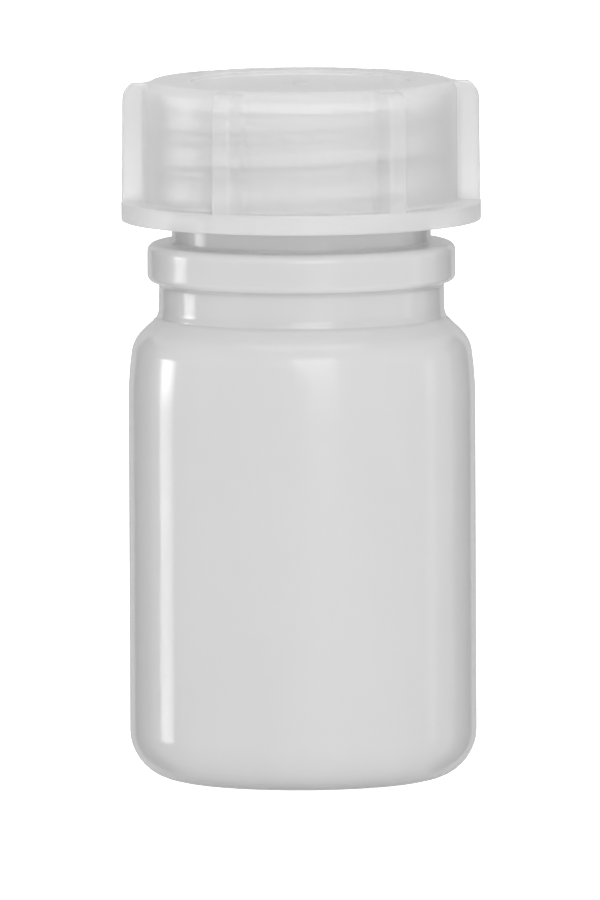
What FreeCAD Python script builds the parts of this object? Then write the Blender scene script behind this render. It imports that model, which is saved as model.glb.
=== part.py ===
import FreeCAD, Part
import math
import os

# Round wide-neck reagent bottle, 50 ml, with a lugged screw cap and a sealing insert in the cap.
# Millimetres, +Z up, origin at the centre of the base on the plane it stands on. The front is -Y.
# The neck has a right-hand bottle thread of 32 mm, lead 4 mm, and the cap turns down on it.

# Bottle: base, body and shoulder
BODY_R = 19.5
BODY_WALL = 1.1
HEEL_R = 5.4
BASE_WALL = 1.3
PUSH_UP = 1.6
PUSH_UP_R = 8.0
PUSH_UP_ROUND = 6.0
STANDING_RING_IN_R = 12.4
STANDING_RING_ROUND = 0.6
BASE_INSIDE_R = 12.9
BASE_INSIDE_ROUND = 1.5
SHOULDER_START_Z = 42.8
SHOULDER_SWEEP_R = 40.0
SHOULDER_SWEEP_DEG = 7.9
SHOULDER_ROUND_R = 3.98
SHOULDER_DEG = 47.0
SHOULDER_WALL = 1.2
SHOULDER_INSIDE_ROUND = 5.0

# Bottle: neck, collar and lip
LOWER_NECK_R = 16.05
LOWER_NECK_WALL = 1.5
LOWER_NECK_FILLET = 1.8
NECK_INSIDE_ROUND = 3.0
COLLAR_R = 17.37
COLLAR_FOOT_Z = 56.13
COLLAR_FOOT_RISE = 0.16
COLLAR_FOOT_FILLET = 0.63
COLLAR_FOOT_ROUND = 0.84
COLLAR_TOP_Z = 60.5
COLLAR_TOP_RISE = 0.15
COLLAR_EDGE_R = 0.9
NECK_R = 14.6
NECK_FOOT_FILLET = 0.35
BORE_R = 12.7
BORE_FOOT_ABOVE_COLLAR = 0.7
WAIST_ABOVE_COLLAR_FOOT = 1.5
LIP_Z = 76.3
LIP_ROUND = 0.4

# Threads: (radius, half-height) from the buried root to the crest, and where each ridge runs
LEAD = 4.0
NECK_CREST_R = 15.9
NECK_RIDGE = [(NECK_R - 0.4, 1.3), (NECK_CREST_R - 0.3, 0.68), (NECK_CREST_R, 0.4)]
NECK_RIDGE_Z = 63.3
NECK_RIDGE_DEG = (75.0, 1020.0)
CAP_BORE_R = 16.2
CAP_CREST_R = 15.0
CAP_RIDGE = [(CAP_BORE_R + 0.4, 1.05), (CAP_CREST_R + 0.3, 0.5), (CAP_CREST_R, 0.25)]
CAP_RIDGE_Z = NECK_RIDGE_Z - 1.6
CAP_RIDGE_DEG = (255.0, 1200.0)
SUNK = 0.15
FADE_DEG = 45.0
STEPS_PER_TURN = 24

# Screw cap
CAP_BOTTOM_Z = 63.1
CAP_TOP_Z = 78.9
CAP_CEILING_Z = 77.45
CEILING_ROUND = 0.2
MOUTH_CHAMFER = 0.4
MOUTH_CHAMFER_HEIGHT = 0.6
FLANGE_R = 20.27
FLANGE_TOP_Z = 65.3
FLANGE_TOP_ROUND = 0.3
FLANGE_FOOT_ROUND = 0.2
SKIRT_R = 17.6
SKIRT_FILLET = 0.4
CAP_EDGE_R = 1.25
RECESS_R = 12.3
RECESS_DEPTH = 0.5
RECESS_ROUND = 0.15

# Grip lugs
LUGS = 6
FIRST_LUG_DEG = -26.8
LUG_FOOT_R = 20.2
LUG_HEAD_R = 20.1
LUG_TOP_Z = 78.65
LUG_EDGE_R = 1.8
LUG_TIP_HALF = 1.1
LUG_TIP_ROUND = 0.4
LUG_ROOT_HALF = 1.45
LUG_ROOT_FILLET = 0.8
LUG_STUB_HALF = 2.35
LUG_STUB_R = SKIRT_R - 0.1
LUG_BURIED_R = SKIRT_R - 0.7
LUG_FOOT_Z = FLANGE_TOP_Z - 0.5

# Sealing insert
INSERT_R = 15.7
INSERT_TOP_ROUND = 0.3
INSERT_EDGE_ROUND = 0.2
PLUG_TOP_R = 12.55
PLUG_FOOT_R = 12.3
PLUG_FOOT_ROUND = 0.4
PLUG_IN_R = 11.4
PLUG_IN_ROUND = 0.3
PLUG_FOOT_Z = 73.0

FRONT_DEG = -90.0
TOUCHING = 1e-6
AXIS = FreeCAD.Vector(0, 0, 1)
CENTRE = FreeCAD.Vector(0, 0, 0)


def point(r, z):
    """A point of the half-plane that is turned about Z."""
    return FreeCAD.Vector(r, 0, z)


def rounded_wire(corners):
    """A closed wire through (place, rounding) corners, each rounded by an arc of that radius.

    An arc begins its radius over the tangent of half the corner's angle before the corner, and its middle
    lies on the line that halves the angle.
    """
    stops = []
    for i, (corner, radius) in enumerate(corners):
        if radius == 0:
            stops.append((corner, None, corner))
            continue
        back = (corners[i - 1][0] - corner).normalize()
        ahead = (corners[(i + 1) % len(corners)][0] - corner).normalize()
        half = back.getAngle(ahead) / 2
        reach = radius / math.tan(half)
        inwards = (back + ahead).normalize()
        middle = corner + inwards * (radius / math.sin(half) - radius)
        stops.append((corner + back * reach, middle, corner + ahead * reach))
    edges = []
    for i, (start, middle, end) in enumerate(stops):
        if middle is not None:
            edges.append(Part.Arc(start, middle, end).toShape())
        following = stops[(i + 1) % len(stops)][0]
        if end.distanceToPoint(following) > TOUCHING:
            edges.append(Part.LineSegment(end, following).toShape())
    return Part.Wire(edges)


def turned(outline):
    """The solid made by turning an outline of (radius, height, rounding) corners about Z."""
    corners = [(point(r, z), rounding) for r, z, rounding in outline]
    return Part.Face(rounded_wire(corners)).revolve(CENTRE, AXIS, 360)


def shoulder_corners():
    """Corners of the shoulder: a long sweep off the body, a round, and the flank up to the lower neck.

    Each one is reached from the last by going up and inwards at the run's angle from the vertical.
    """
    sweep_angle = math.radians(SHOULDER_SWEEP_DEG)
    flank_angle = math.radians(SHOULDER_DEG)
    sweep_reach = SHOULDER_SWEEP_R * math.tan(sweep_angle / 2)
    round_reach = SHOULDER_ROUND_R * math.tan((flank_angle - sweep_angle) / 2)
    sweep_z = SHOULDER_START_Z + sweep_reach
    run = sweep_reach + round_reach + TOUCHING
    round_r = BODY_R - run * math.sin(sweep_angle)
    round_z = sweep_z + run * math.cos(sweep_angle)
    foot_z = round_z + (round_r - LOWER_NECK_R) / math.tan(flank_angle)
    return [
        (BODY_R, sweep_z, SHOULDER_SWEEP_R),
        (round_r, round_z, SHOULDER_ROUND_R),
        (LOWER_NECK_R, foot_z, LOWER_NECK_FILLET),
    ]


def inner_shoulder_corners():
    """Corners of the shoulder's inside, from the neck down, with its flank set in by the wall."""
    flank_angle = math.radians(SHOULDER_DEG)
    outer_r, outer_z, _ = shoulder_corners()[1]
    flank_r = outer_r - SHOULDER_WALL * math.cos(flank_angle)
    flank_z = outer_z - SHOULDER_WALL * math.sin(flank_angle)
    neck_r = LOWER_NECK_R - LOWER_NECK_WALL
    body_r = BODY_R - BODY_WALL
    neck_z = flank_z + (flank_r - neck_r) / math.tan(flank_angle)
    body_z = flank_z - (body_r - flank_r) / math.tan(flank_angle)
    return [(neck_r, neck_z, NECK_INSIDE_ROUND), (body_r, body_z, SHOULDER_INSIDE_ROUND)]


def bottle_outline():
    """The bottle's section, from the middle of the base up the outside and down the inside."""
    return [
        (0, PUSH_UP, 0),
        (PUSH_UP_R, PUSH_UP, PUSH_UP_ROUND),
        (STANDING_RING_IN_R, 0, STANDING_RING_ROUND),
        (BODY_R, 0, HEEL_R),
        *shoulder_corners(),
        (LOWER_NECK_R, COLLAR_FOOT_Z, COLLAR_FOOT_FILLET),
        (COLLAR_R, COLLAR_FOOT_Z + COLLAR_FOOT_RISE, COLLAR_FOOT_ROUND),
        (COLLAR_R, COLLAR_TOP_Z, COLLAR_EDGE_R),
        (NECK_R, COLLAR_TOP_Z + COLLAR_TOP_RISE, NECK_FOOT_FILLET),
        (NECK_R, LIP_Z, LIP_ROUND),
        (BORE_R, LIP_Z, LIP_ROUND),
        (BORE_R, COLLAR_TOP_Z + BORE_FOOT_ABOVE_COLLAR, NECK_INSIDE_ROUND),
        (LOWER_NECK_R - LOWER_NECK_WALL, COLLAR_FOOT_Z + WAIST_ABOVE_COLLAR_FOOT, NECK_INSIDE_ROUND),
        *inner_shoulder_corners(),
        (BODY_R - BODY_WALL, BASE_WALL, HEEL_R - BODY_WALL),
        (BASE_INSIDE_R, BASE_WALL, BASE_INSIDE_ROUND),
        (PUSH_UP_R, PUSH_UP + BASE_WALL, PUSH_UP_ROUND),
        (0, PUSH_UP + BASE_WALL, 0),
    ]


def fade(angle, start, end):
    """How far a ridge stands out at an angle: 0 at both ends, 1 once FADE_DEG in, eased between."""
    share = min(1.0, (angle - start) / FADE_DEG, (end - angle) / FADE_DEG)
    return share * share * (3 - 2 * share)


def helical_edge(places):
    """A smooth edge through (degrees from the front, radius, height) places."""
    points = []
    for degrees, radius, height in places:
        angle = math.radians(degrees + FRONT_DEG)
        points.append(FreeCAD.Vector(radius * math.cos(angle), radius * math.sin(angle), height))
    curve = Part.BSplineCurve()
    curve.interpolate(points)
    return curve.toShape()


def thread_ridge(section, sunk_r, front_z, span):
    """A helical ridge over a span of degrees from the front, whose ends sink into the wall.

    The section's (radius, half-height) pairs and their mirror image are its corners. Its middle passes the
    front at front_z and climbs LEAD in each turn. Each face is ruled between two neighbouring corners.
    """
    start, end = span
    steps = round((end - start) / 360 * STEPS_PER_TURN)
    angles = [start + (end - start) * i / steps for i in range(steps + 1)]
    root_r = section[0][0]
    corners = [(r, -half) for r, half in section] + [(r, half) for r, half in reversed(section)]
    edges = []
    for r, offset in corners:
        places = []
        for angle in angles:
            out = root_r if r == root_r else sunk_r + (r - sunk_r) * fade(angle, start, end)
            places.append((angle, out, front_z + LEAD * angle / 360 + offset))
        edges.append(helical_edge(places))
    faces = [Part.makeRuledSurface(edges[i - 1], edges[i]) for i in range(len(edges))]
    for at_end in (0, -1):
        rim = [edge.Vertexes[at_end].Point for edge in edges]
        faces.append(Part.Face(Part.makePolygon(rim + [rim[0]])))
    shell = Part.Shell(faces)
    shell.sewShape()
    ridge = Part.Solid(shell)
    if ridge.Volume < 0:
        ridge.reverse()
    return ridge


def bottle():
    """The blow-moulded bottle with the thread round its neck."""
    ridge = thread_ridge(NECK_RIDGE, NECK_R - SUNK, NECK_RIDGE_Z, NECK_RIDGE_DEG)
    return turned(bottle_outline()).fuse(ridge).removeSplitter()


def cap_outline():
    """The cap's section without lugs and thread, from the foot of the bore up the inside and down the outside."""
    recess_z = CAP_TOP_Z - RECESS_DEPTH
    return [
        (CAP_BORE_R + MOUTH_CHAMFER, CAP_BOTTOM_Z, 0),
        (CAP_BORE_R, CAP_BOTTOM_Z + MOUTH_CHAMFER_HEIGHT, 0),
        (CAP_BORE_R, CAP_CEILING_Z, CEILING_ROUND),
        (0, CAP_CEILING_Z, 0),
        (0, recess_z, 0),
        (RECESS_R, recess_z, RECESS_ROUND),
        (RECESS_R, CAP_TOP_Z, RECESS_ROUND),
        (SKIRT_R, CAP_TOP_Z, CAP_EDGE_R),
        (SKIRT_R, FLANGE_TOP_Z, SKIRT_FILLET),
        (FLANGE_R, FLANGE_TOP_Z, FLANGE_TOP_ROUND),
        (FLANGE_R, CAP_BOTTOM_Z, FLANGE_FOOT_ROUND),
    ]


def lug():
    """One grip lug pointing along +X: its plan, raised from the flange, cut to its side view."""
    half_plan = [
        (LUG_BURIED_R, LUG_STUB_HALF, 0),
        (LUG_STUB_R - 0.1, LUG_STUB_HALF, 0),
        (LUG_STUB_R, LUG_ROOT_HALF, LUG_ROOT_FILLET),
        (LUG_FOOT_R, LUG_TIP_HALF, LUG_TIP_ROUND),
    ]
    plan = [(x, -y, rounding) for x, y, rounding in half_plan] + half_plan[::-1]
    plan_wire = rounded_wire([(FreeCAD.Vector(x, y, LUG_FOOT_Z), rounding) for x, y, rounding in plan])
    block = Part.Face(plan_wire).extrude(AXIS * (CAP_TOP_Z - LUG_FOOT_Z))
    side = [
        (LUG_BURIED_R - 1, LUG_FOOT_Z - 1, 0),
        (LUG_FOOT_R, LUG_FOOT_Z - 1, 0),
        (LUG_HEAD_R, LUG_TOP_Z, LUG_EDGE_R),
        (LUG_BURIED_R - 1, LUG_TOP_Z, 0),
    ]
    side_wire = rounded_wire([(point(x, z), rounding) for x, z, rounding in side])
    across = FreeCAD.Vector(0, LUG_FOOT_R, 0)
    side_wire.translate(-across)
    return block.common(Part.Face(side_wire).extrude(across * 2))


def screw_cap():
    """The cap: top plate, skirt and flange in one, with its lugs and the thread in its bore."""
    lugs = []
    for i in range(LUGS):
        one = lug()
        one.rotate(CENTRE, AXIS, FRONT_DEG + FIRST_LUG_DEG + i * 360 / LUGS)
        lugs.append(one)
    ridge = thread_ridge(CAP_RIDGE, CAP_BORE_R + SUNK, CAP_RIDGE_Z, CAP_RIDGE_DEG)
    return turned(cap_outline()).fuse(lugs).fuse(ridge).removeSplitter()


def sealing_insert():
    """The soft disc that sits on the lip, with the conical plug ring that goes into the bore."""
    return turned([
        (0, CAP_CEILING_Z, 0),
        (INSERT_R, CAP_CEILING_Z, INSERT_TOP_ROUND),
        (INSERT_R, LIP_Z, INSERT_EDGE_ROUND),
        (PLUG_TOP_R, LIP_Z, 0),
        (PLUG_FOOT_R, PLUG_FOOT_Z, PLUG_FOOT_ROUND),
        (PLUG_IN_R, PLUG_FOOT_Z, PLUG_IN_ROUND),
        (PLUG_IN_R, LIP_Z, PLUG_FOOT_ROUND),
        (0, LIP_Z, 0),
    ])


def main():
    """Builds each piece and writes it to its own file."""
    os.makedirs("parts", exist_ok=True)
    pieces = {"bottle": bottle(), "screw_cap": screw_cap(), "sealing_insert": sealing_insert()}
    for name, shape in pieces.items():
        shape.exportStep(f"parts/{name}.step")
        print(name, "valid:", shape.isValid(), "solids:", len(shape.Solids), "volume:", round(shape.Volume, 1))


main()
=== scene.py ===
"""Looks of a small round wide-neck reagent bottle with a lugged screw cap and a sealing insert.

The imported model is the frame: every piece here stands where its CAD node stands. Sections and plans are
written in millimetres, as a mould maker writes them, and become metres when a mesh is made.
"""
import logging
import math
from dataclasses import dataclass, field
from enum import Enum

import bpy
import numpy as np
from mathutils import Matrix, Vector


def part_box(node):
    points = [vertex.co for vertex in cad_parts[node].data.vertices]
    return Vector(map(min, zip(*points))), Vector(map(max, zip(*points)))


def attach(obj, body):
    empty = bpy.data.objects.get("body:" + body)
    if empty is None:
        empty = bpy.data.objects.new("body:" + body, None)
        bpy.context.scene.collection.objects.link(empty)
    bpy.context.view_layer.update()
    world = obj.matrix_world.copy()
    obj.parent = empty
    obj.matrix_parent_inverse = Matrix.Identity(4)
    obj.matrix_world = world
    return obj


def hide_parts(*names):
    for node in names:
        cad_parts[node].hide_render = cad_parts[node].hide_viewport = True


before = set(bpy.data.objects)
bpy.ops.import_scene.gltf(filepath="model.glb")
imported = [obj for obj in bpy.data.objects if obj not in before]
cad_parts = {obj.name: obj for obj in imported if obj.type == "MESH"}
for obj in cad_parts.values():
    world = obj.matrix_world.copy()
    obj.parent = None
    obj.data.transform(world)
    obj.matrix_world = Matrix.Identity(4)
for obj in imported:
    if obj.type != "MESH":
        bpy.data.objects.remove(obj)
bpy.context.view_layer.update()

LOG = logging.getLogger("reagent_bottle")
MM = 0.001
FRONT = -math.pi / 2
# In millimetres: how far a place may miss a wall and still count as on it, first loosely and then strictly.
HAIR = 0.01
ON_WALL = 1e-4
# In millimetres: a run shorter than this is left out, and a guard point stands this far from a run's end.
SHORTEST_RUN = 1e-3
GUARD = 0.08
# The stretch of a noise's value that nearly all of it lies in.
NOISE_LOW = 0.3
NOISE_HIGH = 0.7


class Way(Enum):
    """Which way a thread's ridge stands: out from a neck or in from a bore."""

    OUTWARD = 1.0
    INWARD = -1.0


def smooth(share: np.ndarray) -> np.ndarray:
    """Eases a share between 0 and 1: three times its square less twice its cube."""
    share = np.clip(share, 0.0, 1.0)
    return share * share * (3.0 - 2.0 * share)


# ---------------------------------------------------------------- shapes


@dataclass(frozen=True)
class Corner:
    """A corner of a section, in millimetres.

    Args:
        r: distance from the axis.
        z: height.
        rounding: radius of the arc that rounds it.
        step: longest stretch between two points on the run that leaves it.
    """

    r: float
    z: float
    rounding: float = 0.0
    step: float = 1.5


@dataclass(frozen=True)
class Section:
    """An open line of straight runs and tangent arcs in the half-plane of radius and height."""

    corners: tuple[Corner, ...]
    arc_step: float = math.radians(9.0)

    def _arc(self, index: int) -> np.ndarray:
        """Points that round one corner.

        The arc starts its radius times the tangent of half the turn before the corner. Its centre lies
        one radius to the side that the line turns to, and the spoke to the start is turned in equal steps.

        Args:
            index: the corner's place in the line.

        Returns:
            An (n, 2) array of radius and height.
        """
        before, here, after = (np.array([c.r, c.z]) for c in self.corners[index - 1:index + 2])
        into = (here - before) / np.linalg.norm(here - before)
        out = (after - here) / np.linalg.norm(after - here)
        turn = math.atan2(into[0] * out[1] - into[1] * out[0], into @ out)
        radius = self.corners[index].rounding
        start = here - into * radius * math.tan(abs(turn) / 2)
        centre = start + math.copysign(radius, turn) * np.array([-into[1], into[0]])
        count = max(3, math.ceil(abs(turn) / self.arc_step))
        angle = turn * np.linspace(0.0, 1.0, count + 1)
        spoke = start - centre
        across = np.array([-spoke[1], spoke[0]])
        return centre + np.outer(np.cos(angle), spoke) + np.outer(np.sin(angle), across)

    def points(self) -> np.ndarray:
        """The whole line as points.

        A straight run between two arcs is cut evenly, with one more point close to each of its ends, so that
        an arc's shading doesn't leak along the run.

        Returns:
            An (n, 2) array of radius and height, in millimetres.
        """
        last = len(self.corners) - 1
        parts = []
        for index, corner in enumerate(self.corners):
            plain = index in (0, last) or corner.rounding == 0.0
            parts.append(np.array([[corner.r, corner.z]]) if plain else self._arc(index))
        line = [parts[0]]
        for index in range(last):
            start, end = parts[index][-1], parts[index + 1][0]
            length = float(np.linalg.norm(end - start))
            if length > SHORTEST_RUN:
                count = max(1, math.ceil(length / self.corners[index].step))
                share = np.linspace(0.0, 1.0, count + 1)[1:-1]
                guard = min(GUARD, length / 4) / length
                share = np.unique(np.concatenate([share, [guard, 1.0 - guard]]))
                line.append(start + np.outer(share, end - start))
                line.append(parts[index + 1])
            else:
                line.append(parts[index + 1][1:])
        return np.concatenate(line)


@dataclass(frozen=True)
class Thread:
    """A helical ridge on a round wall, in millimetres and degrees counted from the front.

    Args:
        lead: climb in one turn.
        height: how far the crest stands off the wall.
        half_root: half the ridge's width at the wall.
        half_crest: half the width of its crest.
        front_z: height of the ridge's middle where it passes the front.
        start: where the ridge begins.
        end: where it ends.
        fade: the turn over which an end grows out of the wall.
        way: out from a neck or in from a bore.
    """

    lead: float
    height: float
    half_root: float
    half_crest: float
    front_z: float
    start: float
    end: float
    fade: float
    way: Way

    def relief(self, theta: np.ndarray, z: np.ndarray) -> np.ndarray:
        """How far the wall is moved out at each place.

        The nearest turn is the whole number of turns that brings the helix closest in height. The ridge is a
        trapezium of the height left over, its flanks eased, times an eased fade at both ends.

        Args:
            theta: angle about the axis, in radians.
            z: height, in millimetres.

        Returns:
            The radial offset in millimetres, negative for a ridge in a bore.
        """
        angle = np.degrees(theta - FRONT)
        turns = np.round((z - self.front_z) / self.lead - angle / 360.0)
        run = angle + 360.0 * turns
        off = np.abs(z - self.front_z - self.lead * run / 360.0)
        ridge = smooth((self.half_root - off) / (self.half_root - self.half_crest))
        ends = smooth(np.minimum(run - self.start, self.end - run) / self.fade)
        return self.way.value * self.height * ridge * ends


def spread(section: np.ndarray, theta: np.ndarray) -> tuple[np.ndarray, np.ndarray]:
    """Repeats a section at every angle.

    Args:
        section: (rows, 2) array of radius and height.
        theta: (columns,) array of angles.

    Returns:
        Radius and height, each a (rows, columns) array.
    """
    radius = np.repeat(section[:, :1], theta.size, axis=1)
    height = np.repeat(section[:, 1:], theta.size, axis=1)
    return radius, height


def polar_grid(radius: np.ndarray, height: np.ndarray, theta: np.ndarray) -> np.ndarray:
    """Places of a grid whose radius and height are known at every row and column.

    A point of radius r and height z at angle t is (r cos t, r sin t, z).

    Args:
        radius: (rows, columns) array.
        height: (rows, columns) array.
        theta: (columns,) array of angles.

    Returns:
        (rows, columns, 3) array of places.
    """
    return np.stack([radius * np.cos(theta), radius * np.sin(theta), height], axis=-1)


def finer(line: np.ndarray, chosen: np.ndarray, parts: int) -> np.ndarray:
    """Cuts chosen stretches of a line into equal parts.

    Stretch i runs from point i to point i + 1. Each is given its number of parts, and every new point lies
    its part's share of the way along.

    Args:
        line: (n, 2) array of points.
        chosen: (n - 1,) array, true for the stretches to cut.
        parts: how many parts each of them gets.

    Returns:
        The line with its new points.
    """
    counts = np.where(chosen, parts, 1)
    stretch = np.repeat(np.arange(counts.size), counts)
    place = np.arange(stretch.size) - (np.cumsum(counts) - counts)[stretch]
    share = (place / counts[stretch])[:, None]
    points = line[stretch] + (line[stretch + 1] - line[stretch]) * share
    return np.concatenate([points, line[-1:]])


def hump(off: np.ndarray, half_width: float) -> np.ndarray:
    """A smooth hump, 1 in its middle: e to the power of minus the squared offset in half widths."""
    return np.exp(-(off / half_width) ** 2)


def closed_mesh(name: str, grid: np.ndarray) -> bpy.types.Object:
    """Makes a closed piece from a grid that wraps round its columns and ends in a pole at each end.

    The first and last rows each become one vertex. Between them, four neighbours make a quadrilateral
    (row i, column j), (i, j + 1), (i + 1, j + 1), (i + 1, j), which faces out where rows climb outside.

    Args:
        name: the piece's name.
        grid: (rows, columns, 3) array of places in millimetres.

    Returns:
        The new object, shaded smooth, at the origin.
    """
    rows, columns = grid.shape[0] - 2, grid.shape[1]
    places = np.concatenate([grid[:1, 0], grid[1:-1].reshape(-1, 3), grid[-1:, 0]]) * MM
    ring = np.arange(columns)
    following = np.roll(ring, -1)
    low = 1 + np.arange(rows - 1)[:, None] * columns
    quads = np.stack([low + ring, low + following, low + following + columns, low + ring + columns], axis=-1)
    top = 1 + (rows - 1) * columns
    first = np.stack([np.zeros_like(ring), 1 + following, 1 + ring], axis=-1)
    last = np.stack([top + ring, top + following, np.full_like(ring, len(places) - 1)], axis=-1)
    corners = np.concatenate([quads.ravel(), first.ravel(), last.ravel()])
    totals = np.concatenate([np.full(quads.size // 4, 4), np.full(2 * columns, 3)])
    mesh = bpy.data.meshes.new(name)
    mesh.vertices.add(len(places))
    mesh.vertices.foreach_set("co", places.astype(np.float32).ravel())
    mesh.loops.add(corners.size)
    mesh.loops.foreach_set("vertex_index", corners.astype(np.int32))
    mesh.polygons.add(totals.size)
    mesh.polygons.foreach_set("loop_start", (np.cumsum(totals) - totals).astype(np.int32))
    mesh.polygons.foreach_set("use_smooth", np.ones(totals.size, bool))
    mesh.update(calc_edges=True)
    mesh.validate()
    piece = bpy.data.objects.new(name, mesh)
    bpy.context.scene.collection.objects.link(piece)
    return piece


# ---------------------------------------------------------------- finishes


@dataclass(frozen=True)
class MilkyPlastic:
    """Natural, undyed polyolefin: light enters, scatters inside the wall and partly comes through.

    Args:
        name: the material's name.
        colour: what the wall scatters back, linear.
        mottle: share by which the colour wanders.
        mottle_scale: how fine that wandering is, per metre.
        roughness: middle of the surface's roughness.
        roughness_swing: how far it wanders.
        scatter: how far light travels in the wall, in millimetres.
        clear: share of the light that crosses the wall as through frosted glass.
        cover: share of the light that meets the skin at all; the rest goes straight through it.
        grain: depth of the skin's fine ripple, in millimetres.
        grain_scale: how fine the ripple is, per metre.
        streaks: how much the pattern is drawn out along the axis, 1 for not at all.
    """

    name: str
    colour: tuple[float, float, float]
    mottle: float = 0.02
    mottle_scale: float = 120.0
    roughness: float = 0.35
    roughness_swing: float = 0.05
    scatter: float = 2.0
    clear: float = 0.2
    cover: float = 1.0
    grain: float = 0.01
    grain_scale: float = 900.0
    streaks: float = 1.0

    def material(self) -> bpy.types.Material:
        """Builds the material.

        Object coordinates, squeezed along the axis for streaks, feed two noises. The broad one wanders the
        colour and the roughness between their limits, the fine one ripples the skin.

        Returns:
            The new material.
        """
        made = bpy.data.materials.new(self.name)
        made.use_nodes = True
        nodes, links = made.node_tree.nodes, made.node_tree.links
        shader = nodes["Principled BSDF"]
        shader.inputs["Subsurface Weight"].default_value = 1.0
        shader.inputs["Subsurface Radius"].default_value = (1.0, 1.0, 1.0)
        shader.inputs["Subsurface Scale"].default_value = self.scatter * MM
        shader.inputs["Transmission Weight"].default_value = self.clear
        shader.inputs["Alpha"].default_value = self.cover
        shader.inputs["IOR"].default_value = 1.5
        places = nodes.new("ShaderNodeTexCoord")
        turn = nodes.new("ShaderNodeMapping")
        turn.inputs["Scale"].default_value = (1.0, 1.0, 1.0 / self.streaks)
        links.new(places.outputs["Object"], turn.inputs["Vector"])
        broad = self._noise(nodes, self.mottle_scale, 4.0)
        fine = self._noise(nodes, self.grain_scale, 2.0)
        links.new(turn.outputs["Vector"], broad.inputs["Vector"])
        links.new(turn.outputs["Vector"], fine.inputs["Vector"])
        tint = nodes.new("ShaderNodeValToRGB")
        low, high = tint.color_ramp.elements
        low.position, high.position = NOISE_LOW, NOISE_HIGH
        low.color = (*(c * (1.0 - self.mottle) for c in self.colour), 1.0)
        high.color = (*(min(1.0, c * (1.0 + self.mottle)) for c in self.colour), 1.0)
        links.new(broad.outputs["Fac"], tint.inputs["Fac"])
        links.new(tint.outputs["Color"], shader.inputs["Base Color"])
        rough = nodes.new("ShaderNodeMapRange")
        rough.inputs["From Min"].default_value = NOISE_LOW
        rough.inputs["From Max"].default_value = NOISE_HIGH
        rough.inputs["To Min"].default_value = self.roughness - self.roughness_swing
        rough.inputs["To Max"].default_value = self.roughness + self.roughness_swing
        links.new(broad.outputs["Fac"], rough.inputs["Value"])
        links.new(rough.outputs["Result"], shader.inputs["Roughness"])
        ripple = nodes.new("ShaderNodeBump")
        ripple.inputs["Strength"].default_value = 1.0
        ripple.inputs["Distance"].default_value = self.grain * MM
        links.new(fine.outputs["Fac"], ripple.inputs["Height"])
        links.new(ripple.outputs["Normal"], shader.inputs["Normal"])
        return made

    @staticmethod
    def _noise(nodes: bpy.types.Nodes, scale: float, detail: float) -> bpy.types.Node:
        """A noise texture of that scale per metre and that many octaves."""
        noise = nodes.new("ShaderNodeTexNoise")
        noise.inputs["Scale"].default_value = scale
        noise.inputs["Detail"].default_value = detail
        return noise


# ---------------------------------------------------------------- the bottle


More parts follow.
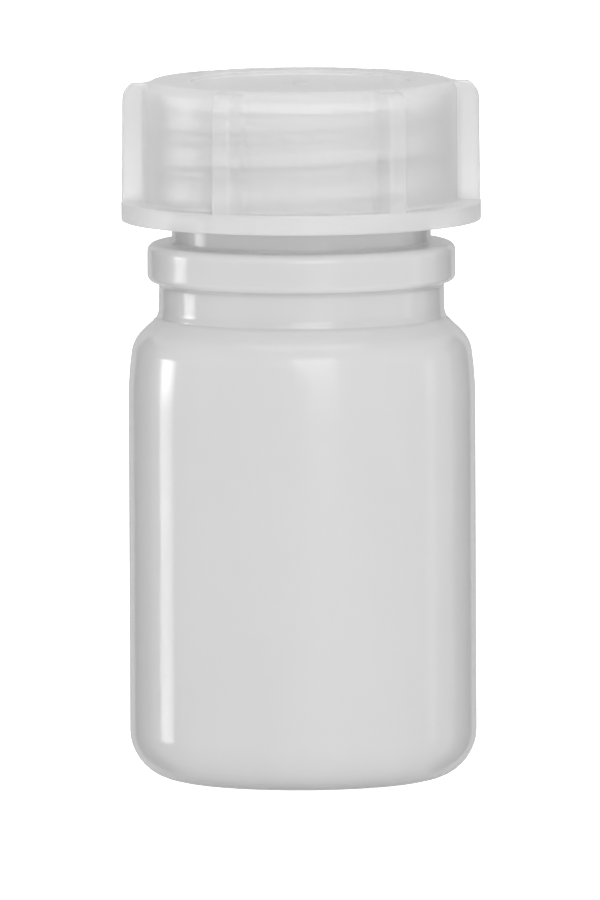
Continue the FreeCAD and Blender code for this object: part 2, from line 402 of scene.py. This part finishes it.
@dataclass
class Bottle:
    """The blow-moulded bottle. Sizes in millimetres; the ones that the frame holds are read from it."""

    node: str = "bottle"
    body_r: float = field(init=False)
    lip_z: float = field(init=False)
    wall: float = 1.1
    shoulder_wall: float = 1.2
    neck_wall: float = 1.5
    base_wall: float = 1.3
    heel_r: float = 5.4
    stand_r: float = 12.4
    push_up: float = 1.6
    push_up_r: float = 8.0
    shoulder_z: float = 42.8
    shoulder_sweep_r: float = 40.0
    shoulder_sweep: float = math.radians(7.9)
    shoulder_round_r: float = 4.0
    shoulder_flank: float = math.radians(47.0)
    lower_neck_r: float = 16.05
    collar_r: float = 17.37
    collar_foot_z: float = 56.13
    collar_top_z: float = 60.5
    neck_r: float = 14.6
    bore_r: float = 12.7
    columns: int = 240
    parting_z: float = 52.2
    parting_depth: float = 0.07
    parting_half_width: float = 0.13
    parting_reach: float = 0.9
    parting_lip: float = 0.6
    parting_lip_drop: float = 0.35
    parting_lip_half_width: float = 0.16
    seam_height: float = 0.05
    seam_half_width: float = 0.16
    seam_foot_z: float = 1.0
    seam_fade: float = 3.0
    seam_gap: float = 0.5
    weld_height: float = 0.3
    weld_half_width: float = 0.4
    weld_reach: float = 9.0
    weld_fade: float = 2.0
    thread: Thread = Thread(lead=4.0, height=1.3, half_root=1.15, half_crest=0.4, front_z=63.3,
                            start=75.0, end=1020.0, fade=45.0, way=Way.OUTWARD)
    finish: MilkyPlastic = MilkyPlastic("bottle_polyethylene", (0.7, 0.7, 0.7), mottle=0.01,
                                        roughness=0.15, roughness_swing=0.02, scatter=0.8, clear=0.1,
                                        streaks=3.0)

    def __post_init__(self) -> None:
        """Reads the body's radius and the lip's height from the frame."""
        low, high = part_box(self.node)
        self.body_r = (high.x - low.x) / 2 / MM
        self.lip_z = high.z / MM

    def shoulder(self) -> tuple[Corner, Corner, Corner]:
        """Corners of the shoulder, each reached from the last by going up and in at the run's angle.

        Returns:
            The sweep off the body, the round above it, and the foot of the lower neck.
        """
        sweep = self.shoulder_sweep_r * math.tan(self.shoulder_sweep / 2)
        turn = (self.shoulder_flank - self.shoulder_sweep) / 2
        length = sweep + self.shoulder_round_r * math.tan(turn)
        first_z = self.shoulder_z + sweep
        second_r = self.body_r - length * math.sin(self.shoulder_sweep)
        second_z = first_z + length * math.cos(self.shoulder_sweep)
        third_z = second_z + (second_r - self.lower_neck_r) / math.tan(self.shoulder_flank)
        return (
            Corner(self.body_r, first_z, self.shoulder_sweep_r),
            Corner(second_r, second_z, self.shoulder_round_r - 2 * HAIR, 0.3),
            Corner(self.lower_neck_r, third_z, 1.8, 0.8),
        )

    def section(self) -> Section:
        """The section from the middle of the base, up the outside, over the lip and down the inside."""
        sweep, round_, foot = self.shoulder()
        inside_r = self.body_r - self.wall
        neck_inside_r = self.lower_neck_r - self.neck_wall
        flank_r = round_.r - self.shoulder_wall * math.cos(self.shoulder_flank)
        flank_z = round_.z - self.shoulder_wall * math.sin(self.shoulder_flank)
        slope = math.tan(self.shoulder_flank)
        return Section((
            Corner(0.0, self.push_up, 0.0, 0.6),
            Corner(self.push_up_r, self.push_up, 6.0, 0.8),
            Corner(self.stand_r, 0.0, 0.6, 0.5),
            Corner(self.body_r, 0.0, self.heel_r, 1.6),
            sweep,
            round_,
            foot,
            Corner(self.lower_neck_r, self.collar_foot_z, 0.63, 0.3),
            Corner(self.collar_r, self.collar_foot_z + 0.16, 0.84, 0.6),
            Corner(self.collar_r, self.collar_top_z, 0.9, 0.5),
            Corner(self.neck_r, self.collar_top_z + 0.15, 0.35, 0.2),
            Corner(self.neck_r, self.lip_z, 0.4, 0.4),
            Corner(self.bore_r, self.lip_z, 0.4, 1.2),
            Corner(self.bore_r, self.collar_top_z + 0.7, 3.0, 1.0),
            Corner(neck_inside_r, self.collar_foot_z + 1.5, 3.0, 0.8),
            Corner(neck_inside_r, flank_z + (flank_r - neck_inside_r) / slope, 3.0, 0.8),
            Corner(inside_r, flank_z - (inside_r - flank_r) / slope, 5.0, 1.8),
            Corner(inside_r, self.base_wall, self.heel_r - self.wall, 1.0),
            Corner(self.stand_r + 0.5, self.base_wall, 1.5, 0.8),
            Corner(self.push_up_r, self.push_up + self.base_wall, 6.0, 1.6),
            Corner(0.0, self.push_up + self.base_wall),
        ))

    def angles(self) -> np.ndarray:
        """Even angles of the columns, with a few more close to each side for the mould's seam."""
        even = np.linspace(0.0, 2 * math.pi, self.columns, endpoint=False)
        close = np.radians([-0.9, -0.45, 0.45, 0.9])
        seams = np.array([0.0, math.pi])[:, None] + close
        return np.unique(np.mod(np.concatenate([even, seams.ravel()]), 2 * math.pi))

    def mould_marks(self, radius: np.ndarray, height: np.ndarray, theta: np.ndarray) -> np.ndarray:
        """How far the mould's marks move the outer wall out.

        A shallow groove runs round the foot of the neck where two mould parts meet, with a low lip under it.
        A fine seam stands on each side of body, shoulder and neck, as a hump of the distance along the wall
        from the side, eased out towards the heel and the collar.

        Args:
            radius: radius of every place.
            height: height of every place.
            theta: angle of every column.

        Returns:
            The radial offset in millimetres.
        """
        above = height - self.parting_z
        lip = self.parting_lip * hump(above + self.parting_lip_drop, self.parting_lip_half_width)
        groove = hump(above, self.parting_half_width) - lip
        from_side = radius * np.arcsin(np.abs(np.sin(theta)))
        foot = smooth((height - self.seam_foot_z) / self.seam_fade)
        head = smooth(self.collar_foot_z - self.seam_gap - height)
        seam = self.seam_height * hump(from_side, self.seam_half_width) * foot * head
        outer = (radius > self.lower_neck_r - HAIR) & (height < self.collar_foot_z)
        return np.where(outer, seam - self.parting_depth * groove, 0.0)

    def weld(self, radius: np.ndarray, height: np.ndarray, theta: np.ndarray) -> np.ndarray:
        """How far the weld under the base hangs down, where the mould pinched the parison shut.

        It is a hump across the line between the seams, eased out before the base's standing ring.

        Args:
            radius: radius of every place.
            height: height of every place.
            theta: angle of every column.

        Returns:
            The drop in millimetres.
        """
        along, across = radius * np.cos(theta), radius * np.sin(theta)
        ends = smooth((self.weld_reach - np.abs(along)) / self.weld_fade)
        ridge = self.weld_height * hump(across, self.weld_half_width) * ends
        return np.where(height < self.push_up + HAIR, ridge, 0.0)

    def build(self) -> bpy.types.Object:
        """Turns the section, adds the neck's thread and the mould's marks and dresses it.

        Returns:
            The finished piece, riding on the bottle's body.
        """
        theta = self.angles()
        section = self.section().points()
        near_parting = np.abs(section[:-1, 1] - self.parting_z) < self.parting_reach
        outside = section[:-1, 0] > self.lower_neck_r - HAIR
        section = finer(section, near_parting & outside, parts=3)
        radius, height = spread(section, theta)
        on_neck = np.isclose(radius, self.neck_r, atol=ON_WALL) & (height > self.collar_top_z)
        relief = np.where(on_neck, self.thread.relief(theta[None, :], height), 0.0)
        relief = relief + self.mould_marks(radius, height, theta)
        height = height - self.weld(radius, height, theta)
        radius = radius + relief
        piece = closed_mesh("bottle_shell", polar_grid(radius, height, theta))
        piece.data.materials.append(self.finish.material())
        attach(piece, "bottle")
        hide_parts(self.node)
        return piece


# ---------------------------------------------------------------- the cap


@dataclass
class ScrewCap:
    """The injection-moulded cap with its grip lugs, flange and internal thread. Sizes in millimetres."""

    node: str = "screw_cap"
    flange_r: float = field(init=False)
    bottom_z: float = field(init=False)
    top_z: float = field(init=False)
    skirt_r: float = 17.6
    flange_height: float = 2.2
    fillet_height: float = 0.6
    bore_r: float = 16.2
    mouth_width: float = 0.4
    mouth_height: float = 0.6
    ceiling_z: float = 77.45
    edge_r: float = 1.25
    rim: float = 0.3
    recess_r: float = 12.3
    recess_depth: float = 0.5
    gate_r: float = 0.9
    gate_height: float = 0.2
    lugs: int = 6
    first_lug: float = math.radians(-26.8)
    lug_foot_r: float = 20.2
    lug_fillet_half_width: float = 2.6
    lug_root_half_width: float = 1.45
    lug_tip_half_width: float = 1.1
    lug_draft: float = 0.1
    lug_edge_r: float = 1.8
    lug_drop: float = 0.25
    flank_thinning: float = 0.75
    skirt_columns: int = 15
    wall_rows: int = 12
    edge_rows: int = 9
    plate_rows: int = 6
    thread: Thread = Thread(lead=4.0, height=1.2, half_root=0.95, half_crest=0.3, front_z=61.7,
                            start=255.0, end=1200.0, fade=45.0, way=Way.INWARD)
    finish: MilkyPlastic = MilkyPlastic("cap_polypropylene", (0.99, 0.99, 0.99), mottle=0.008,
                                        roughness=0.35, roughness_swing=0.03, scatter=1.5, clear=0.45,
                                        cover=0.63, streaks=1.5)

    def __post_init__(self) -> None:
        """Reads the flange's radius and the cap's height from the frame."""
        low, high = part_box(self.node)
        self.flange_r = (high.x - low.x) / 2 / MM
        self.bottom_z = low.z / MM
        self.top_z = high.z / MM

    @property
    def plate_r(self) -> float:
        """Radius of the flat top plate, inside the rounded edge and its narrow rim."""
        return self.skirt_r - self.edge_r - self.rim

    def plan(self) -> tuple[np.ndarray, np.ndarray]:
        """The outline of skirt and lugs seen from above, as one radius for each angle.

        One lug's half outline, from the skirt over its root fillet and flank to the middle of its tip, is a
        section of distance along the lug and width across it. Its points become angle and radius, are
        mirrored, and the skirt between two lugs is cut evenly. That pattern is repeated for every lug.

        Returns:
            Angles and radii of the columns, in radians and millimetres.
        """
        half = Section((
            Corner(self.skirt_r - 0.18, self.lug_fillet_half_width),
            Corner(self.skirt_r - 0.08, self.lug_root_half_width, 0.8, 0.4),
            Corner(self.lug_foot_r - 0.02, self.lug_tip_half_width, 0.4, 0.5),
            Corner(self.lug_foot_r, 0.0),
        ), arc_step=math.radians(15.0)).points()[:-1]
        angle = np.arctan2(half[:, 1], half[:, 0])
        radius = np.maximum(np.hypot(half[:, 0], half[:, 1]), self.skirt_r)
        lug_angle = np.concatenate([-angle, [0.0], angle[::-1]])
        lug_radius = np.concatenate([radius, [self.lug_foot_r], radius[::-1]])
        pitch = 2 * math.pi / self.lugs
        between = np.linspace(angle[0], pitch - angle[0], self.skirt_columns)[1:-1]
        angle = np.concatenate([lug_angle, between])
        radius = np.concatenate([lug_radius, np.full(between.size, self.skirt_r)])
        turns = self.first_lug + FRONT + pitch * np.arange(self.lugs)
        return (turns[:, None] + angle).ravel(), np.tile(radius, self.lugs)

    def inside(self) -> np.ndarray:
        """Rows from the middle of the ceiling, down the bore and out over the foot to the flange's side."""
        return Section((
            Corner(0.0, self.ceiling_z, 0.0, 1.6),
            Corner(self.bore_r, self.ceiling_z, 0.2, 0.16),
            Corner(self.bore_r, self.bottom_z + self.mouth_height, 0.0, 0.4),
            Corner(self.bore_r + self.mouth_width, self.bottom_z, 0.0, 0.8),
            Corner(self.flange_r, self.bottom_z, 0.2, 0.4),
            Corner(self.flange_r, self.bottom_z + self.flange_height / 2),
        )).points()

    def outside(self, plan: np.ndarray) -> tuple[np.ndarray, np.ndarray]:
        """Rows from the flange's side up over the flange, the wall and the rounded top edge.

        Between the flange and the wall each row is a blend of the skirt's fillet and the lug's flush foot by
        how far the column stands out. The wall leans in by the draft. At the top, each column turns in over
        an arc as large as the edge radius on skirt and tip, and small on a lug's flanks.

        Args:
            plan: radius of each column at the foot.

        Returns:
            Radius and height of every row and column.
        """
        share = np.clip((plan - self.skirt_r) / (self.lug_foot_r - self.skirt_r), 0.0, 1.0)
        flange_top = self.bottom_z + self.flange_height
        wall_foot = flange_top + self.fillet_height
        foot = Section((
            Corner(self.flange_r, self.bottom_z + self.flange_height / 2),
            Corner(self.flange_r, flange_top, 0.3, 0.4),
            Corner(self.skirt_r, flange_top, 0.4, 0.3),
            Corner(self.skirt_r, wall_foot),
        )).points()[1:]
        rise = np.linspace(0.0, 1.0, len(foot))[:, None]
        flush_r = self.flange_r + (self.lug_foot_r - self.flange_r) * smooth(rise)
        foot_r = foot[:, :1] + (flush_r - foot[:, :1]) * share
        foot_z = foot[:, 1:] + np.zeros_like(share)
        edge = self.edge_r + (self.lug_edge_r - self.edge_r) * share
        edge = edge * (1.0 - self.flank_thinning * 4.0 * share * (1.0 - share))
        crown = self.top_z - self.lug_drop * smooth(4.0 * share)
        head = plan - self.lug_draft * share
        climb = np.linspace(0.0, 1.0, self.wall_rows)[1:, None]
        wall_r = plan + (head - plan) * climb
        wall_z = wall_foot + (crown - edge - wall_foot) * climb
        turn = np.linspace(0.0, math.pi / 2, self.edge_rows)[1:, None]
        arc_r = head - edge + edge * np.cos(turn)
        arc_z = crown - edge + edge * np.sin(turn)
        back = np.linspace(0.0, 1.0, self.plate_rows)[1:, None]
        flat_r = head - edge + (self.plate_r - head + edge) * back
        flat_z = crown + (self.top_z - crown) * smooth(2.0 * back - 1.0)
        radius = np.concatenate([foot_r, wall_r, arc_r, flat_r])
        height = np.concatenate([foot_z, wall_z, arc_z, flat_z])
        return radius, height

    def top(self) -> np.ndarray:
        """Rows from the rim of the top plate in over the round recess to the gate's mark in the middle."""
        floor = self.top_z - self.recess_depth
        return Section((
            Corner(self.plate_r, self.top_z, 0.0, 0.8),
            Corner(self.recess_r, self.top_z, 0.15, 0.3),
            Corner(self.recess_r, floor, 0.15, 1.5),
            Corner(self.gate_r + 0.2, floor, 0.1, 0.2),
            Corner(self.gate_r, floor + self.gate_height, 0.1, 0.3),
            Corner(0.0, floor + self.gate_height),
        )).points()[1:]

    def build(self) -> bpy.types.Object:
        """Joins inside, outside and top into one closed skin, raises the bore's thread and dresses it.

        Returns:
            The finished piece, riding on the cap's body.
        """
        theta, plan = self.plan()
        skins = (spread(self.inside(), theta), self.outside(plan), spread(self.top(), theta))
        radius, height = (np.concatenate(rows) for rows in zip(*skins))
        in_bore = np.isclose(radius, self.bore_r, atol=ON_WALL)
        radius = radius + np.where(in_bore, self.thread.relief(theta[None, :], height), 0.0)
        piece = closed_mesh("cap_shell", polar_grid(radius, height, theta))
        piece.data.materials.append(self.finish.material())
        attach(piece, "cap")
        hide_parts(self.node)
        return piece


# ---------------------------------------------------------------- the insert


@dataclass
class SealingInsert:
    """The soft disc with its conical plug ring, held in the cap's top. Sizes in millimetres."""

    node: str = "sealing_insert"
    disc_r: float = field(init=False)
    foot_z: float = field(init=False)
    top_z: float = field(init=False)
    disc_z: float = 76.33
    seat_gap: float = 0.04
    plug_top_r: float = 12.55
    plug_foot_r: float = 12.3
    plug_in_r: float = 11.4
    columns: int = 180
    finish: MilkyPlastic = MilkyPlastic("insert_polyethylene", (0.95, 0.95, 0.945), roughness=0.4,
                                        scatter=2.0, clear=0.1)

    def __post_init__(self) -> None:
        """Reads the disc's radius and the insert's height from the frame."""
        low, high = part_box(self.node)
        self.disc_r = (high.x - low.x) / 2 / MM
        self.foot_z = low.z / MM
        self.top_z = high.z / MM - self.seat_gap

    def build(self) -> bpy.types.Object:
        """Turns the section, from the middle of its underside over the plug and disc to its top.

        Returns:
            The finished piece, riding on the lifting body.
        """
        section = Section((
            Corner(0.0, self.disc_z, 0.0, 1.6),
            Corner(self.plug_in_r, self.disc_z, 0.4, 0.5),
            Corner(self.plug_in_r, self.foot_z, 0.3, 0.3),
            Corner(self.plug_foot_r, self.foot_z, 0.4, 0.5),
            Corner(self.plug_top_r, self.disc_z, 0.0, 0.8),
            Corner(self.disc_r, self.disc_z, 0.2, 0.4),
            Corner(self.disc_r, self.top_z, 0.3, 1.6),
            Corner(0.0, self.top_z),
        )).points()
        theta = np.linspace(0.0, 2 * math.pi, self.columns, endpoint=False)
        piece = closed_mesh("insert_shell", polar_grid(*spread(section, theta), theta))
        piece.data.materials.append(self.finish.material())
        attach(piece, "insert")
        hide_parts(self.node)
        return piece


# ---------------------------------------------------------------- studio


@dataclass
class Studio:
    """A plain white floor, soft lights and a long lens, in metres and radians."""

    distance: float = 3.4
    elevation: float = math.radians(5.7)
    roll: float = math.radians(-0.25)
    aim_x: float = -0.00025
    aim_z: float = 0.0370
    view_height: float = 0.1014
    floor_half: float = 6.0
    floor_cells: int = 8
    paper: float = 0.9
    burn: float = 1.05
    air: float = 0.6
    glow: float = 0.08
    bounces: int = 24
    soft_bounces: int = 8

    def floor(self) -> bpy.types.Object:
        """A level white square under the object, worked out as a grid of places at height zero.

        It is a light table: its glow burns it out in the lens and lifts the bottle's underside a little.
        Gloss doesn't see it, so that the side strips show down to the heel.

        Returns:
            The floor.
        """
        row = self.floor_cells + 1
        side = np.linspace(-self.floor_half, self.floor_half, row)
        x, y = np.meshgrid(side, side)
        places = np.stack([x.ravel(), y.ravel(), np.zeros(x.size)], axis=-1)
        cell = np.arange(self.floor_cells)
        low = (cell[:, None] * row + cell).ravel()
        quads = np.stack([low, low + 1, low + row + 1, low + row], axis=-1)
        mesh = bpy.data.meshes.new("studio_floor")
        mesh.from_pydata(places.tolist(), [], quads.tolist())
        piece = bpy.data.objects.new("studio_floor", mesh)
        bpy.context.scene.collection.objects.link(piece)
        paper = bpy.data.materials.new("white_paper")
        paper.use_nodes = True
        shader = paper.node_tree.nodes["Principled BSDF"]
        shader.inputs["Roughness"].default_value = 0.9
        shader.inputs["Specular IOR Level"].default_value = 0.1
        shader.inputs["Base Color"].default_value = (self.paper, self.paper, self.paper, 1.0)
        shader.inputs["Emission Color"].default_value = (1.0, 1.0, 1.0, 1.0)
        strength = self.burnt(paper.node_tree, self.glow, self.burn)
        paper.node_tree.links.new(strength, shader.inputs["Emission Strength"])
        mesh.materials.append(paper)
        piece.visible_glossy = False
        return piece

    @staticmethod
    def burnt(tree: bpy.types.NodeTree, lit: float, seen: float) -> bpy.types.NodeSocket:
        """A strength that is higher straight in the lens than where it lights the bottle.

        The studio's white is exposed past its limit, while the bottle and what shows through its walls are
        not. The strength is the lit one, plus the difference where a ray comes from the lens and has crossed
        nothing.

        Args:
            tree: the node tree that gets the strength.
            lit: the strength that the bottle is lit by and shows in its gloss.
            seen: the strength that the lens sees directly.

        Returns:
            The socket that carries the strength.
        """
        path = tree.nodes.new("ShaderNodeLightPath")
        unveiled = tree.nodes.new("ShaderNodeMath")
        unveiled.operation = "LESS_THAN"
        unveiled.inputs[1].default_value = 0.5
        tree.links.new(path.outputs["Transparent Depth"], unveiled.inputs[0])
        direct = tree.nodes.new("ShaderNodeMath")
        direct.operation = "MULTIPLY"
        tree.links.new(path.outputs["Is Camera Ray"], direct.inputs[0])
        tree.links.new(unveiled.outputs[0], direct.inputs[1])
        strength = tree.nodes.new("ShaderNodeMath")
        strength.operation = "MULTIPLY_ADD"
        tree.links.new(direct.outputs[0], strength.inputs[0])
        strength.inputs[1].default_value = seen - lit
        strength.inputs[2].default_value = lit
        return strength.outputs[0]

    def light(self, name: str, azimuth: float, height: float, reach: float, size: tuple[float, float],
              power: float, shows: bool = True) -> bpy.types.Object:
        """A soft panel that faces the bottle.

        Args:
            name: the light's name.
            azimuth: where it stands, in degrees from the front, positive towards +X.
            height: height of its middle.
            reach: level distance from the axis.
            size: width and height of the panel.
            power: its power in watts.
            shows: whether gloss shows the panel, which a diffusion tent in front of it would prevent.

        Returns:
            The new light.
        """
        lamp = bpy.data.lights.new(name, "AREA")
        lamp.shape = "RECTANGLE"
        lamp.size, lamp.size_y = size
        lamp.energy = power
        panel = bpy.data.objects.new(name, lamp)
        angle = math.radians(azimuth) + FRONT
        panel.location = (reach * math.cos(angle), reach * math.sin(angle), height)
        aim = Vector((0.0, 0.0, self.aim_z)) - panel.location
        panel.rotation_euler = aim.to_track_quat("-Z", "Y").to_euler()
        panel.visible_glossy = shows
        bpy.context.scene.collection.objects.link(panel)
        return panel

    def flag(self, name: str, azimuth: float, reach: float, width: float, ends: tuple[float, float],
             shows: bool = True) -> bpy.types.Object:
        """A black card close to the bottle, which darkens its edges and isn't seen by the camera.

        Args:
            name: the card's name.
            azimuth: where it stands, in degrees from the front, positive towards +X.
            reach: level distance from the axis.
            width: its width.
            ends: heights of its foot and head.
            shows: whether gloss shows it.

        Returns:
            The new card.
        """
        angle = math.radians(azimuth) + FRONT
        out = np.array([math.cos(angle), math.sin(angle), 0.0])
        along = np.array([-out[1], out[0], 0.0]) * width / 2
        foot, head = (out * reach + np.array([0.0, 0.0, end]) for end in ends)
        mesh = bpy.data.meshes.new(name)
        mesh.from_pydata([foot - along, foot + along, head + along, head - along], [], [(0, 1, 2, 3)])
        piece = bpy.data.objects.new(name, mesh)
        bpy.context.scene.collection.objects.link(piece)
        felt = bpy.data.materials.new(name)
        felt.use_nodes = True
        shader = felt.node_tree.nodes["Principled BSDF"]
        shader.inputs["Base Color"].default_value = (0.03, 0.03, 0.03, 1.0)
        shader.inputs["Roughness"].default_value = 0.9
        mesh.materials.append(felt)
        piece.visible_camera = False
        piece.visible_glossy = shows
        return piece

    def camera(self) -> bpy.types.Object:
        """A long lens in front of the bottle and a little above it, turned by a slight roll."""
        eye = bpy.data.cameras.new("studio_camera")
        eye.sensor_fit = "VERTICAL"
        eye.sensor_height = 24.0
        eye.lens = eye.sensor_height * self.distance / self.view_height
        eye.clip_end = 50.0
        holder = bpy.data.objects.new("studio_camera", eye)
        back = Vector((0.0, -math.cos(self.elevation), math.sin(self.elevation)))
        aim = Vector((self.aim_x, 0.0, self.aim_z))
        turn = back.to_track_quat("Z", "Y").to_matrix() @ Matrix.Rotation(self.roll, 3, "Z")
        holder.matrix_world = Matrix.Translation(aim + back * self.distance) @ turn.to_4x4()
        bpy.context.scene.collection.objects.link(holder)
        bpy.context.scene.camera = holder
        return holder

    def build(self) -> None:
        """Sets out floor, lights, surroundings and camera."""
        self.floor()
        front = {"azimuth": 9.0, "height": 0.9, "reach": 2.2, "size": (1.2, 1.2)}
        self.light("front_panel", **front, power=10.0)
        self.light("front_tent", **front, power=12.0, shows=False)
        self.light("front_fill", azimuth=14.0, height=0.1, reach=2.2, size=(0.8, 0.5), power=1.5)
        self.light("top_panel", azimuth=0.0, height=1.8, reach=0.05, size=(1.6, 1.6), power=10.0)
        self.light("left_strip", azimuth=-102.5, height=0.0, reach=0.9, size=(0.2, 0.34), power=1.7)
        self.light("right_strip", azimuth=95.0, height=0.0, reach=0.9, size=(0.15, 0.34), power=0.2)
        self.flag("left_flag", azimuth=-129.0, reach=0.13, width=0.07, ends=(-0.1, 0.1))
        self.flag("right_flag", azimuth=129.0, reach=0.13, width=0.07, ends=(-0.1, 0.1))
        self.flag("back_flag", azimuth=180.0, reach=0.13, width=0.12, ends=(0.06, 0.11), shows=False)
        world = bpy.data.worlds.new("studio_air")
        world.use_nodes = True
        surroundings = world.node_tree.nodes["Background"]
        surroundings.inputs["Color"].default_value = (1.0, 1.0, 1.0, 1.0)
        strength = self.burnt(world.node_tree, self.air, self.burn)
        world.node_tree.links.new(strength, surroundings.inputs["Strength"])
        bpy.context.scene.world = world
        bpy.context.scene.view_settings.view_transform = "Standard"
        paths = bpy.context.scene.cycles
        paths.max_bounces = paths.transmission_bounces = self.bounces
        paths.diffuse_bounces = paths.glossy_bounces = self.soft_bounces
        self.camera()


def main() -> None:
    """Builds the studio and each piece in turn, and says what each one measures."""
    logging.basicConfig(level=logging.INFO, format="%(name)s: %(message)s")
    Studio().build()
    for maker in (Bottle(), SealingInsert(), ScrewCap()):
        piece = maker.build()
        LOG.info("%s: %d vertices, %d faces, %s", piece.name, len(piece.data.vertices),
                 len(piece.data.polygons), piece.active_material.name)


if __name__ == "__main__":
    main()
